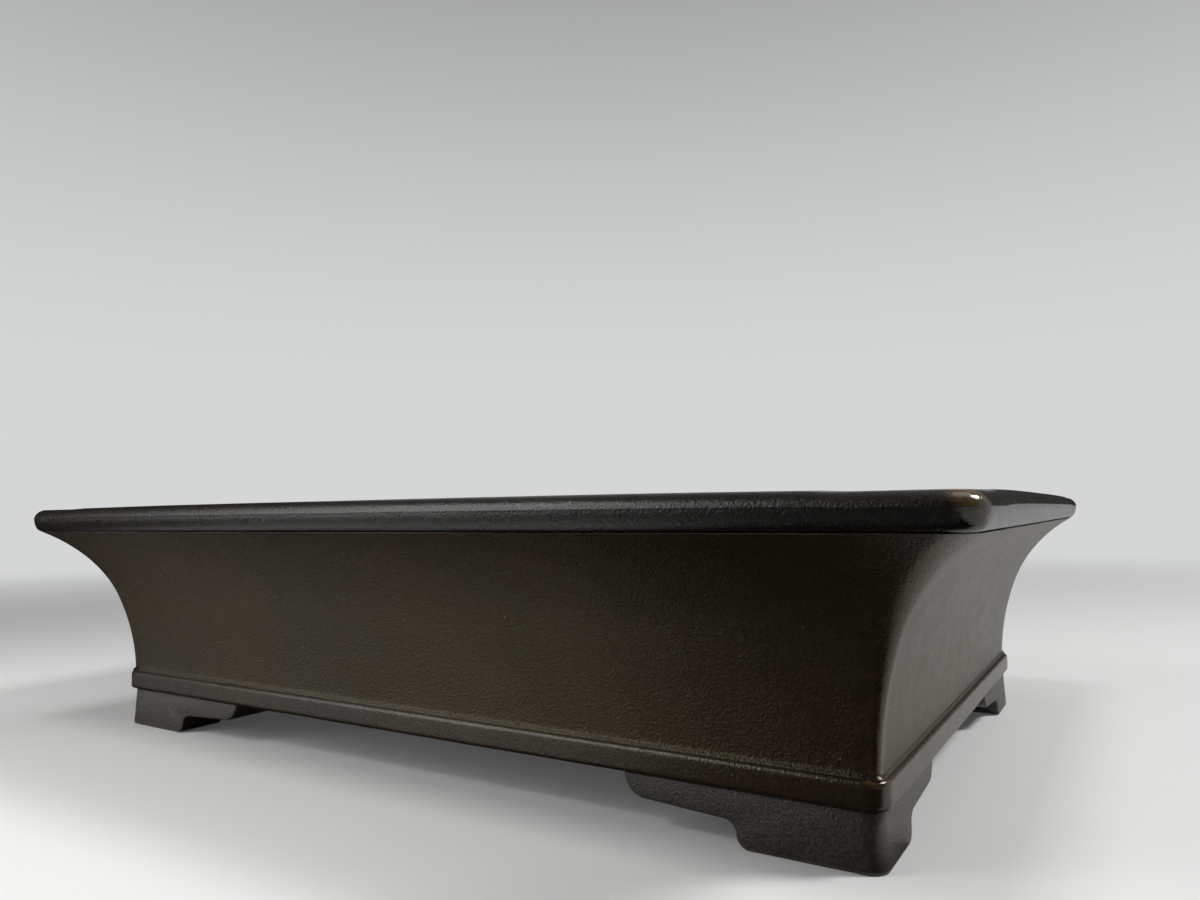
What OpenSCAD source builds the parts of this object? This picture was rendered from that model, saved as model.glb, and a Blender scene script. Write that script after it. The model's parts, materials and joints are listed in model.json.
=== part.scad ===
// Rectangular bonsai pot in unglazed stoneware, slab-built: floor, flared walls, rim, base band and feet.
// Origin on the ground under the middle of the pot, +X to the right, front towards -Y, +Z up. Millimetres.

/* [Overall] */
// Length over the rim, left to right
rim_l = 450; // [360:1:540]
// Width over the rim, front to back
rim_w = 330; // [260:1:420]
// Height from the ground to the top of the rim
pot_h = 110; // [100:0.5:130]

/* [Rim] */
// Height of the rim strip
rim_h = 12; // [10:0.5:16]
// Plan radius of the rim's outer corners
rim_corner_r = 12; // [9:0.5:15]
// Crown radius of the rim's outer face
rim_face_r = 13; // [11:0.5:20]
// Height of the rim's widest line above its underside
rim_crown_h = 7.5; // [5:0.5:8]
// Rounding of the rim's two top edges
rim_edge_r = 3; // [1:0.5:4]
// Ledge of the rim's underside past the outside of the wall
rim_ledge = 0.2; // [0.2:0.1:2]

/* [Walls] */
// Wall thickness, square to its face
wall_t = 9; // [7:0.5:11]
// Outward lean of the wall at its foot, degrees from upright
wall_lean = 2.25; // [0:0.25:6]
// Lean of the wall where the flare tightens
turn_lean = 19; // [14:0.5:26]
// Lean of the wall under the rim
lip_lean = 58.5; // [45:0.5:62]
// Height above the base band where the flare tightens
turn_h = 37.5; // [28:0.5:44]

/* [Base] */
// Thickness of the floor slab and height of the band round it
base_t = 9.3; // [7:0.1:12]
// How far the band stands out past the foot of the wall
band_out = 2.5; // [1.5:0.1:4]
// How far the band reaches in under the wall
band_in = 4.5; // [3:0.5:6]
// Plan radius of the band's outer corners
band_corner_r = 7; // [5:0.5:9]
// Rounding of the band's two outer edges
band_edge_r = 2; // [0.5:0.1:2.5]
// Diameter of the two drain holes
drain_d = 40; // [25:1:50]
// Distance of a drain hole's centre from the foot of the short wall
drain_inset = 100.5; // [60:0.5:110]
// Diameter of the four tie-wire holes
wire_d = 6; // [4:0.5:8]
// Distance of a tie-wire hole's centre from the foot of the short wall
wire_inset_x = 43.5; // [32:0.5:50]
// Distance of a tie-wire hole's centre from the foot of the long wall
wire_inset_y = 63.5; // [32:0.5:80]

/* [Feet] */
// Height of the feet
foot_h = 17.7; // [15:0.1:24]
// Length of a foot along the pot's long side
foot_leg_x = 85; // [70:1:110]
// Length of a foot along the pot's short side
foot_leg_y = 70; // [60:1:90]
// Standing length of a foot along the pot's long side
foot_post_x = 41; // [34:1:50]
// Standing length of a foot along the pot's short side
foot_post_y = 30; // [28:1:36]
// Thickness of a foot, outside to inside
foot_t = 22; // [16:1:28]
// How far a foot stands out past the foot of the wall
foot_out = 0.5; // [-1:0.1:1.5]
// Plan radius of a foot's outer corner
foot_corner_r = 8; // [4:0.5:12]
// Rounding under the standing end of a foot
toe_r = 4.3; // [2:0.1:5]
// Hollow rounding between the standing end and the raised wing
arch_r = 4; // [2:0.1:5]
// Rise of the wing's underside towards its tip
wing_rise = 1.5; // [0:0.1:3]

/* [Seams] */
// Width of the coil pressed into a floor seam
seam_w = 8; // [6:0.5:10]
// Hollow radius of that coil's face
seam_r = 12; // [10.5:0.5:16]
// Thickness of the coil pressed into an upright corner
coil_t = 5; // [3:0.5:7]

/* [Hidden] */
$fn = 96;
flare_fn = 720;

// Overshoot of a cutting shape past what it cuts
over = 1;

clay = [0.24, 0.21, 0.18];
clay_dark = [0.19, 0.17, 0.15];
clay_warm = [0.28, 0.23, 0.18];

// Heights
base_z = foot_h + base_t;
lip_z = pot_h - rim_h;
wall_h = lip_z - base_z;

// The flare is two tangent arcs in a plane square to the wall: offsets run outwards from the foot of the wall
low_r = turn_h / (sin(turn_lean) - sin(wall_lean));
top_r = (wall_h - turn_h) / (sin(lip_lean) - sin(turn_lean));
low_c = [low_r * cos(wall_lean), base_z - low_r * sin(wall_lean)];
turn_p = low_c + low_r * [-cos(turn_lean), sin(turn_lean)];
top_c = turn_p + top_r * [cos(turn_lean), -sin(turn_lean)];
lip_off = top_c.x - top_r * cos(lip_lean);

// Offset of the inside of the wall at a height
inner_turn_z = low_c.y + (low_r + wall_t) * sin(turn_lean);
function arc_off(c, r, z) = c.x - sqrt(r * r - (z - c.y) * (z - c.y));
function inner_off(z) =
    z < inner_turn_z ? arc_off(low_c, low_r + wall_t, z) : arc_off(top_c, top_r + wall_t, z);

// Rim, from the flare and the crown of its face
rim_drop = rim_face_r - sqrt(rim_face_r * rim_face_r - rim_crown_h * rim_crown_h);
rim_out = lip_off + rim_ledge + rim_drop;
rim_in = inner_off(lip_z);
rim_arc_off = rim_out - rim_corner_r;

// Reach of a mitre wedge to either side of the foot of the wall, past the rim and past the seams
reach = rim_out + wall_t + seam_w;

// Foot of the wall, half the length and half the width
half_x = rim_l / 2 - rim_out;
half_y = rim_w / 2 - rim_out;
function is_end(side) = side == "left" || side == "right";
function half_depth(side) = is_end(side) ? half_x : half_y;
function half_length(side) = is_end(side) ? half_y : half_x;
function side_angle(side) = side == "right" ? 0 : side == "back" ? 90 : side == "left" ? 180 : 270;

// Puts a side, modelled facing +X with its foot line at the origin, in its place round the pot
module at_side(side) {
    rotate(side_angle(side))
        translate([half_depth(side), 0, 0])
            children();
}

// Ground plan of one side between its two mitres, drawn tall
module mitre_wedge(side) {
    half_l = half_length(side);
    linear_extrude(pot_h + over)
        polygon([
            [-reach, -half_l + reach],
            [reach, -half_l - reach],
            [reach, half_l + reach],
            [-reach, half_l - reach]
        ]);
}

// A strip of a given section along one side, mitred inside and round in plan at its outer corners
module mitred_strip(side, arc_off, corner_r) {
    arc_y = half_length(side) + arc_off;
    intersection() {
        rotate([90, 0, 0])
            linear_extrude(2 * arc_y, center = true)
                children();
        mitre_wedge(side);
    }
    for (end = [0, 1])
        mirror([0, end, 0])
            translate([arc_off, arc_y, 0])
                rotate_extrude(angle = 45)
                    intersection() {
                        translate([-arc_off, 0])
                            children();
                        square([corner_r + over, pot_h + over]);
                    }
}

// Section of a wall: two rings meeting on the normal where the flare tightens
module wall_section() {
    intersection() {
        union() {
            intersection() {
                ring(low_c, low_r, wall_t);
                translate(turn_p)
                    rotate(-turn_lean)
                        translate([-reach, -2 * reach])
                            square([2 * reach, 2 * reach]);
            }
            intersection() {
                ring(top_c, top_r, wall_t);
                translate(turn_p)
                    rotate(-turn_lean)
                        translate([-reach, 0])
                            square([2 * reach, 2 * reach]);
            }
        }
        translate([-2 * wall_t, base_z])
            square([2 * wall_t + lip_off + over, wall_h]);
    }
}

module ring(centre, r, t) {
    translate(centre)
        difference() {
            circle(r + t, $fn = flare_fn);
            circle(r, $fn = flare_fn);
        }
}

// One wall before its ends are mitred
module wall_bar(side) {
    rotate([90, 0, 0])
        linear_extrude(2 * (half_length(side) + reach), center = true)
            wall_section();
}

// What the rim's round corner takes off the top corner of a wall
module corner_trim(side) {
    trim_r = lip_off + rim_ledge / 2 - rim_arc_off;
    trim_z = base_z + turn_h;
    for (end = [0, 1])
        mirror([0, end, 0])
            translate([rim_arc_off, half_length(side) + rim_arc_off, trim_z])
                difference() {
                    cube([reach, reach, pot_h]);
                    translate([0, 0, -over])
                        cylinder(h = pot_h + 2 * over, r = trim_r);
                }
}

module wall(side) {
    color(clay)
        at_side(side)
            difference() {
                intersection() {
                    wall_bar(side);
                    mitre_wedge(side);
                }
                corner_trim(side);
            }
}

// Section of the rim: a block with round top edges, its outer face crowned
module rim_section() {
    intersection() {
        union() {
            translate([rim_in, lip_z])
                square([rim_out - rim_in, rim_h - rim_edge_r]);
            translate([rim_in + rim_edge_r, lip_z])
                square([rim_out - rim_in - 2 * rim_edge_r, rim_h]);
            for (x = [rim_in + rim_edge_r, rim_out - rim_edge_r])
                translate([x, pot_h - rim_edge_r])
                    circle(rim_edge_r);
        }
        union() {
            translate([rim_out - rim_face_r, lip_z + rim_crown_h])
                circle(rim_face_r);
            translate([rim_in - over, lip_z])
                square([max(rim_out - rim_face_r - rim_in, 0) + over, rim_h]);
        }
    }
}

module rim(side) {
    color(clay_dark)
        at_side(side)
            mitred_strip(side, rim_arc_off, rim_corner_r)
                rim_section();
}

// Section of the base band: outer edges round
module band_section() {
    translate([-band_in, foot_h])
        square([band_in + band_out - band_edge_r, base_t]);
    translate([-band_in, foot_h + band_edge_r])
        square([band_in + band_out, base_t - 2 * band_edge_r]);
    for (z = [foot_h + band_edge_r, base_z - band_edge_r])
        translate([band_out - band_edge_r, z])
            circle(band_edge_r);
}

module band(side) {
    color(clay)
        at_side(side)
            mitred_strip(side, band_out - band_corner_r, band_corner_r)
                band_section();
}

// Plan of the floor slab, round at the corners where the band's bend leaves it round
module floor_plan() {
    corner_r = max(band_corner_r - band_out - band_in, 0);
    floor_x = half_x - band_in;
    floor_y = half_y - band_in;
    square([2 * (floor_x - corner_r), 2 * floor_y], center = true);
    square([2 * floor_x, 2 * (floor_y - corner_r)], center = true);
    if (corner_r > 0)
        for (x = [-1, 1], y = [-1, 1])
            translate([x * (floor_x - corner_r), y * (floor_y - corner_r)])
                circle(corner_r);
}

module floor_slab() {
    color(clay_warm)
        difference() {
            translate([0, 0, foot_h])
                linear_extrude(base_t)
                    floor_plan();
            for (x = [-1, 1])
                translate([x * (half_x - drain_inset), 0, foot_h - over])
                    cylinder(h = base_t + 2 * over, d = drain_d);
            for (x = [-1, 1], y = [-1, 1])
                translate([x * (half_x - wire_inset_x), y * (half_y - wire_inset_y), foot_h - over])
                    cylinder(h = base_t + 2 * over, d = wire_d);
        }
}

// Outline of one leg of a foot seen square to its face, running from the outer corner to the wing's tip
module leg_outline(leg, post) {
    arch_x = post + toe_r + arch_r;
    arch_z = toe_r + arch_r;
    tip_z = arch_z + wing_rise;
    tip_r = foot_h - tip_z;
    difference() {
        square([leg, foot_h]);
        polygon([
            [arch_x, -over],
            [leg + over, -over],
            [leg + over, tip_z],
            [leg - tip_r, tip_z],
            [arch_x, arch_z]
        ]);
        translate([arch_x, toe_r])
            circle(arch_r);
        translate([post + toe_r, -over])
            square([arch_r + over, toe_r + over]);
        difference() {
            translate([post, -over])
                square([toe_r + over, toe_r + over]);
            translate([post, toe_r])
                circle(toe_r);
        }
        difference() {
            translate([leg - tip_r, tip_z - over])
                square([tip_r + over, tip_r + over]);
            translate([leg - tip_r, foot_h])
                circle(tip_r);
        }
    }
}

// Back right foot; the others mirror it
module foot() {
    out_x = half_x + foot_out;
    out_y = half_y + foot_out;
    intersection() {
        union() {
            translate([out_x, out_y, 0])
                mirror([1, 0, 0])
                    rotate([90, 0, 0])
                        linear_extrude(foot_t)
                            leg_outline(foot_leg_x, foot_post_x);
            translate([out_x, out_y, 0])
                rotate([90, 0, -90])
                    linear_extrude(foot_t)
                        leg_outline(foot_leg_y, foot_post_y);
        }
        linear_extrude(foot_h)
            union() {
                square([out_x - foot_corner_r, out_y]);
                square([out_x, out_y - foot_corner_r]);
                translate([out_x - foot_corner_r, out_y - foot_corner_r])
                    circle(foot_corner_r);
            }
    }
}

module foot_at(left, front) {
    color(clay_warm)
        mirror([left ? 1 : 0, 0, 0])
            mirror([0, front ? 1 : 0, 0])
                foot();
}

// Section of a floor seam coil: the corner between floor and wall behind a hollow face
module floor_seam_section() {
    corner_off = inner_off(base_z);
    face_c = (seam_w + sqrt(2 * seam_r * seam_r - seam_w * seam_w)) / 2;
    difference() {
        translate([corner_off - seam_w, base_z])
            square([seam_w + wall_t / 2, seam_w]);
        translate([corner_off - face_c, base_z + face_c])
            circle(seam_r);
        translate(low_c)
            circle(low_r + wall_t, $fn = flare_fn);
    }
}

// A floor seam runs between two corner coils; past them its toe is mitred with its neighbours
module floor_seam(side) {
    coil_off = arc_off(low_c, low_r + wall_t + coil_t, base_z);
    color(clay_warm)
        at_side(side)
            intersection() {
                rotate([90, 0, 0])
                    linear_extrude(2 * (half_length(side) + coil_off), center = true)
                        floor_seam_section();
                mitre_wedge(side);
            }
}

// A lining of one wall, as thick as a corner coil, from the floor to where the flare tightens
module coil_lining(side) {
    rotate([90, 0, 0])
        linear_extrude(2 * half_length(side), center = true)
            intersection() {
                ring(low_c, low_r + wall_t, coil_t);
                translate([-reach, base_z])
                    square([2 * reach, turn_h]);
            }
}

// Where the linings of two neighbouring walls cross
module corner_coil(left, front) {
    side_x = left ? "left" : "right";
    side_y = front ? "front" : "back";
    intersection() {
        at_side(side_x)
            coil_lining(side_x);
        at_side(side_y)
            coil_lining(side_y);
        mirror([left ? 1 : 0, 0, 0])
            mirror([0, front ? 1 : 0, 0])
                cube([rim_l, rim_w, pot_h]);
    }
}

module corner_seam(left, front) {
    color(clay_warm)
        corner_coil(left, front);
}

floor_slab();
wall("front");  // wall_front
wall("back");  // wall_back
wall("left");  // wall_left
wall("right");  // wall_right
rim("front");  // rim_front
rim("back");  // rim_back
rim("left");  // rim_left
rim("right");  // rim_right
band("front");  // band_front
band("back");  // band_back
band("left");  // band_left
band("right");  // band_right
foot_at(true, true);  // foot_front_left
foot_at(false, true);  // foot_front_right
foot_at(true, false);  // foot_back_left
foot_at(false, false);  // foot_back_right
floor_seam("front");  // floor_seam_front
floor_seam("back");  // floor_seam_back
floor_seam("left");  // floor_seam_left
floor_seam("right");  // floor_seam_right
corner_seam(true, true);  // corner_seam_front_left
corner_seam(false, true);  // corner_seam_front_right
corner_seam(true, false);  // corner_seam_back_left
corner_seam(false, false);  // corner_seam_back_right
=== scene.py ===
import json
import math

import bmesh
import bpy
from bpy.props import FloatProperty, FloatVectorProperty, PointerProperty
from bpy.types import Operator, Panel, PropertyGroup
from mathutils import Matrix, Vector


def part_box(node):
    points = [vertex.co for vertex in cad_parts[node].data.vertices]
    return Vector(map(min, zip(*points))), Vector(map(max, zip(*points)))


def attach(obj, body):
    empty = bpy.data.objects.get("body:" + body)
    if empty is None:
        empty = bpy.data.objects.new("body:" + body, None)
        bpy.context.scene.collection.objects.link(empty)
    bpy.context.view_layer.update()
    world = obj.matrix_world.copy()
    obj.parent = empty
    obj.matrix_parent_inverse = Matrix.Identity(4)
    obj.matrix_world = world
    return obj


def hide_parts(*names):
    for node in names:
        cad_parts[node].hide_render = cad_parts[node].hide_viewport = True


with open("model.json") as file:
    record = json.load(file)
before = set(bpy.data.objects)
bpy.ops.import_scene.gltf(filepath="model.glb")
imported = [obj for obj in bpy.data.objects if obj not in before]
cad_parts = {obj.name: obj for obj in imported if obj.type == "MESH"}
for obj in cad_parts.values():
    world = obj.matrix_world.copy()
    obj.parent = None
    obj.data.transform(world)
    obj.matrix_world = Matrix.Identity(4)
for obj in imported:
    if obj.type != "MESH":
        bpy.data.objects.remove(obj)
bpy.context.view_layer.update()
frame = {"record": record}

bl_info = {
    "name": "Stoneware Bonsai Pot",
    "version": (1, 0, 0),
    "blender": (4, 5, 0),
    "location": "View3D > Sidebar > Bonsai Pot",
    "description": "Dresses a slab-built bonsai pot in unglazed stoneware and sets up its studio",
    "category": "Object",
}

BODY = "root"
SIDES = ("front", "back", "left", "right")
CORNERS = ("front_left", "front_right", "back_left", "back_right")
MM = 0.001

# How far faces that nobody sees reach into their neighbours
HIDDEN = 0.4 * MM


def nodes_of(member, places=SIDES):
    """Names of the CAD nodes of one member, all round the pot."""
    return [f"{member}_{place}" for place in places]


def reach_of(names):
    """Lowest and highest corner of several CAD nodes together."""
    boxes = [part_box(name) for name in names]
    low = Vector(map(min, zip(*(box[0] for box in boxes))))
    high = Vector(map(max, zip(*(box[1] for box in boxes))))
    return low, high


RIM_LOW, RIM_HIGH = reach_of(nodes_of("rim"))
BAND_LOW, BAND_HIGH = reach_of(nodes_of("band"))
FLOOR_LOW, FLOOR_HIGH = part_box("floor_slab")
FOOT_LOW, FOOT_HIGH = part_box("foot_back_right")
MOUNTS = {mount["name"]: mount for mount in frame["record"]["mounts"]}


def length(name, description, default):
    """A length that a user may set, given in millimetres."""
    return FloatProperty(name=name, description=description, default=default * MM, unit="LENGTH", precision=4)


def angle(name, description, degrees):
    """An angle that a user may set, given in degrees."""
    return FloatProperty(name=name, description=description, default=math.radians(degrees), subtype="ANGLE")


def colour(name, description, default):
    """A scene-linear colour that a user may set."""
    return FloatVectorProperty(name=name, description=description, default=default, subtype="COLOR",
                               size=3, min=0.0, max=1.0)


def share(name, description, default):
    """A plain number that a user may set."""
    return FloatProperty(name=name, description=description, default=default)


def power(name, description, watts):
    """The power of a lamp that a user may set, given in watts."""
    return FloatProperty(name=name, description=description, default=watts, unit="POWER")


class PotForm(PropertyGroup):
    """Sizes of the pot's members."""

    band_proud: length("Band Projection", "How far the base band stands out past the foot of the wall", 2.5)
    wall_t: length("Wall Thickness", "Thickness of the wall, square to its face", 9.0)
    wall_lean: angle("Foot Lean", "Lean of the wall where it stands on the band", 2.25)
    turn_lean: angle("Turn Lean", "Lean of the wall where the flare tightens", 19.0)
    lip_lean: angle("Lip Lean", "Lean of the wall under the rim", 58.5)
    turn_rise: length("Turn Rise", "Height above the band where the flare tightens", 37.5)
    arris_foot: length("Arris at Foot", "Rounding of the upright corners at the band", 2.8)
    arris_lip: length("Arris at Lip", "Rounding of the upright corners under the rim", 9.4)
    inner_floor: length("Inside Corner at Floor", "Rounding of the inside corners at the floor", 15.0)
    inner_lip: length("Inside Corner at Lip", "Rounding of the inside corners at the rim", 8.0)
    cove_r: length("Floor Cove", "Hollow rounding between the floor and the wall", 9.0)
    rim_corner: length("Rim Corner", "Plan rounding of the rim's outer corners", 10.0)
    rim_edge: length("Rim Edge", "Rounding of the rim's inner top edge", 3.0)
    rim_roll: length("Rim Roll", "Rounding of the rim's outer top edge", 5.2)
    rim_face_r: length("Rim Crown", "Crown radius of the rim's outer face", 13.0)
    rim_crown_h: length("Rim Widest Line", "Height of the rim's widest line above its underside", 7.5)
    rim_cove: length("Rim Cove", "Hollow rounding between the wall and the rim inside", 8.0)
    rim_sag: length("Rim Sag", "How far the rim's corners lie below the middle of its sides", 1.0)
    band_edge: length("Band Edge", "Rounding of the band's outer edges", 1.9)
    band_corner: length("Band Corner", "Plan rounding of the band's corners", 7.0)
    foot_t: length("Foot Thickness", "Thickness of a foot, outside to inside", 22.0)
    foot_post_x: length("Long Post", "Standing length of a foot along the long side", 41.0)
    foot_post_y: length("Short Post", "Standing length of a foot along the short side", 30.0)
    foot_corner: length("Foot Corner", "Plan rounding of a foot's outer corner", 6.2)
    toe_r: length("Toe", "Rounding under the standing end of a foot", 4.3)
    arch_r: length("Arch", "Hollow rounding between a foot's post and its wing", 4.0)
    wing_rise: length("Wing Rise", "Rise of the wing's underside towards its tip", 1.5)
    foot_edge: length("Foot Edge", "Softening of a foot's edges", 1.3)
    foot_splay: length("Foot Splay", "How far a foot's sole stands out past its top", 0.8)
    hole_edge: length("Hole Edge", "Softening of the drain and tie-wire holes", 1.2)
    unevenness: length("Unevenness", "Depth of the hand-pressed unevenness of the slabs", 0.5)


class PotFinish(PropertyGroup):
    """Colours and surface of the fired clay."""

    clay: colour("Clay", "Fired clay where it is lightest", (0.046, 0.034, 0.018))
    clay_deep: colour("Deep Clay", "Fired clay where it is darkest", (0.030, 0.020, 0.011))
    clay_red: colour("Red Clay", "Patches that took more iron in the kiln", (0.048, 0.024, 0.014))
    clay_grey: colour("Grey Clay", "Patches that the fire left greyer", (0.037, 0.034, 0.029))
    clay_bare: colour("Bare Clay", "Unburnished clay of the feet and the floor", (0.104, 0.094, 0.082))
    ochre: colour("Ochre", "Rubbed tint along the corners and under the feet", (0.130, 0.084, 0.034))
    grit: colour("Grit", "Pale grit in the clay", (0.40, 0.36, 0.28))
    # The pit colour also paints the shade along the seam above the band
    pit: colour("Pit", "Open pits and creases in the skin", (0.014, 0.012, 0.010))
    wall_gloss: share("Wall Gloss", "Strength of the sheen on all but the rim", 0.5)
    rim_gloss: share("Rim Gloss", "Strength of the sheen on the rim", 0.5)
    rim_dark: share("Rim Darkness", "How much darker than the walls the rim is fired", 0.9)
    wall_tint: colour("Wall Tint", "Warmth of the sheen on the walls", (1.0, 0.87, 0.58))
    band_tint: colour("Band Tint", "Warmth of the sheen on the base band", (1.0, 0.98, 0.92))
    rim_tint: colour("Rim Tint", "Tint of the sheen on the rim, the floor and the feet", (0.98, 1.0, 0.98))
    wall_rough: share("Wall Roughness", "Roughness of the walls", 0.38)
    rim_rough: share("Rim Roughness", "Roughness of the burnished rim and the band", 0.29)
    base_rough: share("Base Roughness", "Roughness of the bare floor and feet", 0.48)
    grain: length("Grain", "Width of the grain in the skin", 0.9)
    grain_depth: length("Grain Depth", "Depth of the grain in the skin", 0.37)


class PotStage(PropertyGroup):
    """Camera, lamps and floor."""

    eye: FloatVectorProperty(name="Camera", description="Where the camera stands", subtype="TRANSLATION",
                             unit="LENGTH", default=(0.25588, -0.38502, 0.10444))
    yaw: angle("Yaw", "Turn of the camera from straight ahead towards the left", 31.948)
    pitch: angle("Pitch", "Tilt of the camera above level", 4.084)
    roll: angle("Roll", "Roll of the camera", -0.732)
    lens: FloatProperty(name="Lens", description="Focal length", default=26.027, unit="CAMERA")
    floor: colour("Floor", "Colour of the floor", (0.78, 0.78, 0.77))
    bounce: colour("Bounce", "Colour of the light that the floor throws back", (0.14, 0.14, 0.14))
    backdrop: colour("Backdrop", "Colour of the background at the horizon", (0.66, 0.67, 0.67))
    backdrop_high: colour("High Backdrop", "Colour of the background overhead", (0.05, 0.05, 0.055))
    ambient: share("Ambient", "Strength of the light from all round", 0.055)
    key: power("Key", "Power of the lamp on the right", 18.5)
    fill: power("Fill", "Power of the lamp on the left", 3.35)
    front: power("Front", "Power of the small lamp in front", 1.8)
    top: power("Top", "Power of the lamp overhead", 5.0)
    near: power("Near", "Power of the lamp over the floor in front", 0.9)


class Wire:
    """An output socket of a recipe; arithmetic on it adds Math nodes."""

    def __init__(self, recipe, socket):
        self.recipe = recipe
        self.socket = socket

    def math(self, operation, *values):
        return self.recipe.node("ShaderNodeMath", {"operation": operation}, dict(enumerate(values)))

    def output(self, name):
        return Wire(self.recipe, self.socket.node.outputs[name])

    def __add__(self, other):
        return self.math("ADD", self, other)

    def __sub__(self, other):
        return self.math("SUBTRACT", self, other)

    def __rsub__(self, other):
        return self.math("SUBTRACT", other, self)

    def __mul__(self, other):
        return self.math("MULTIPLY", self, other)

    def __abs__(self):
        return self.math("ABSOLUTE", self)

    __radd__ = __add__
    __rmul__ = __mul__


# A speck is full up to the first of these shares of its width and gone at the second
SPECK_CORE, SPECK_EDGE = 0.35, 0.6
SPECK_DRAW = 0.02


class Recipe:
    """A node tree written as a recipe: each step adds a node and hands on one of its outputs."""

    def __init__(self, tree):
        self.tree = tree
        tree.nodes.clear()

    def node(self, kind, settings=None, inputs=None, out=0):
        made = self.tree.nodes.new(kind)
        for name, value in (settings or {}).items():
            setattr(made, name, value)
        for name, value in (inputs or {}).items():
            if isinstance(value, Wire):
                self.tree.links.new(value.socket, made.inputs[name])
            else:
                made.inputs[name].default_value = value
        return Wire(self, made.outputs[out]) if made.outputs else None

    def noise(self, place, width, detail=2.0, rough=0.5):
        """Cloudy noise from 0 to 1, with features about as wide as width."""
        return self.node("ShaderNodeTexNoise", None, {
            "Vector": place, "Scale": 1.0 / width, "Detail": detail, "Roughness": rough})

    def ease(self, value, low, high, start=0.0, end=1.0):
        """A smooth step from start to end as value goes from low to high."""
        return self.node("ShaderNodeMapRange", {"interpolation_type": "SMOOTHSTEP"}, {
            "Value": value, "From Min": low, "From Max": high, "To Min": start, "To Max": end})

    def mix(self, factor, base, tint):
        """A colour between two colours."""
        return self.node("ShaderNodeMix", {"data_type": "RGBA"}, {0: factor, 6: base, 7: tint}, out=2)

    def specks(self, place, spacing, width, chance):
        """Round specks in some of the cells of a loose grid."""
        cell = self.node("ShaderNodeTexVoronoi", None, {"Vector": place, "Scale": 1.0 / spacing})
        drawn = self.node("ShaderNodeSeparateColor", None, {"Color": cell.output("Color")})
        dot = self.ease(cell, SPECK_CORE * width / spacing, SPECK_EDGE * width / spacing, 1.0, 0.0)
        return dot * self.ease(drawn, 1.0 - chance, 1.0 - chance + SPECK_DRAW)


def paint(value):
    """A colour property as a socket's four numbers."""
    return (*value, 1.0)


# Widths of the clay's clouds of colour, from wide to narrow, and of the soft swells in its skin
DRIFT_WIDTH = 120 * MM
PATCH_WIDTH = 42 * MM
MOTTLE_WIDTH = 7 * MM
SWELL_WIDTH = 18 * MM
SWELL_DEPTH = 0.45 * MM
SWELL_STRENGTH = 0.6

# Specks of grit and pits: how far apart their cells lie, how wide they are, and how many cells have one
GRIT_SPACING, GRIT_WIDTH, GRIT_CHANCE = 9 * MM, 0.8 * MM, 0.4
PIT_SPACING, PIT_WIDTH, PIT_CHANCE = 8 * MM, 0.9 * MM, 0.2

# Where the painted shade along the seam above the band lies, and where the clay is rubbed: by a corner and at
# the soles
CREASE_RISE = 0.6 * MM
CREASE_CORE, CREASE_REACH = 0.25 * MM, 1.1 * MM
RUBBED_CORE, RUBBED_REACH = 1.5 * MM, 10 * MM
SOLE_LOW, SOLE_HIGH = 0.5 * MM, 5 * MM

# The rim begins between these heights under and over its underside
RIM_FADE_LOW, RIM_FADE_HIGH = 1 * MM, 2 * MM

# The outer faces begin this far inside the floor's edge, and come in over so much each way
OUTSIDE_START, OUTSIDE_FADE = 10 * MM, 4 * MM

# Each tone that clouds the deep clay: its shares of drift, patch and mottle, the levels between which
# it changes, and how much of it shows at either level
TONES = (
    ("clay", (0.5, 0.3, 0.2), (0.38, 0.62), (0.0, 1.0)),
    ("clay_red", (0.6, 0.4, 0.0), (0.5, 0.66), (0.0, 0.7)),
    ("clay_grey", (0.5, 0.5, 0.0), (0.36, 0.5), (0.5, 0.0)),
)

# Noise levels between which wear and grain come in or fade
WEAR_SPAN = (0.34, 0.6)
SOLE_SPAN = (0.4, 0.62)
GRAIN_DARK_SPAN = (0.3, 0.6)
GRAIN_LIGHT_SPAN = (0.55, 0.8)

# How much of the clay beneath it each mark covers
BARE_COVER = 0.8
WALL_WEAR, RIM_EXTRA_WEAR = 0.35, 0.6
SOLE_WEAR = 0.5
# Share of the pit colour in the painted shade along the seam above the band
CREASE_SHADE_COVER = 0.9
SPECK_COVER = 0.6
GRAIN_DARK, GRAIN_LIGHT = 0.6, 0.3

# Roughness that the grain adds, and that rubbing takes away on the walls and, besides, on the rim
GRAIN_ROUGH = 0.2
WALL_POLISH, RIM_EXTRA_POLISH = 0.1, 0.08

# Width of the finest grain against the grain's
FINE_SHARE = 0.35

# Heights of the other marks against the grain's, and how far rubbing flattens it
MOTTLE_HEIGHT, FINE_HEIGHT = 0.18, 0.3
PIT_DEPTH, GRIT_HEIGHT = 0.5, 0.3
RUBBED_FLAT = 0.7


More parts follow.
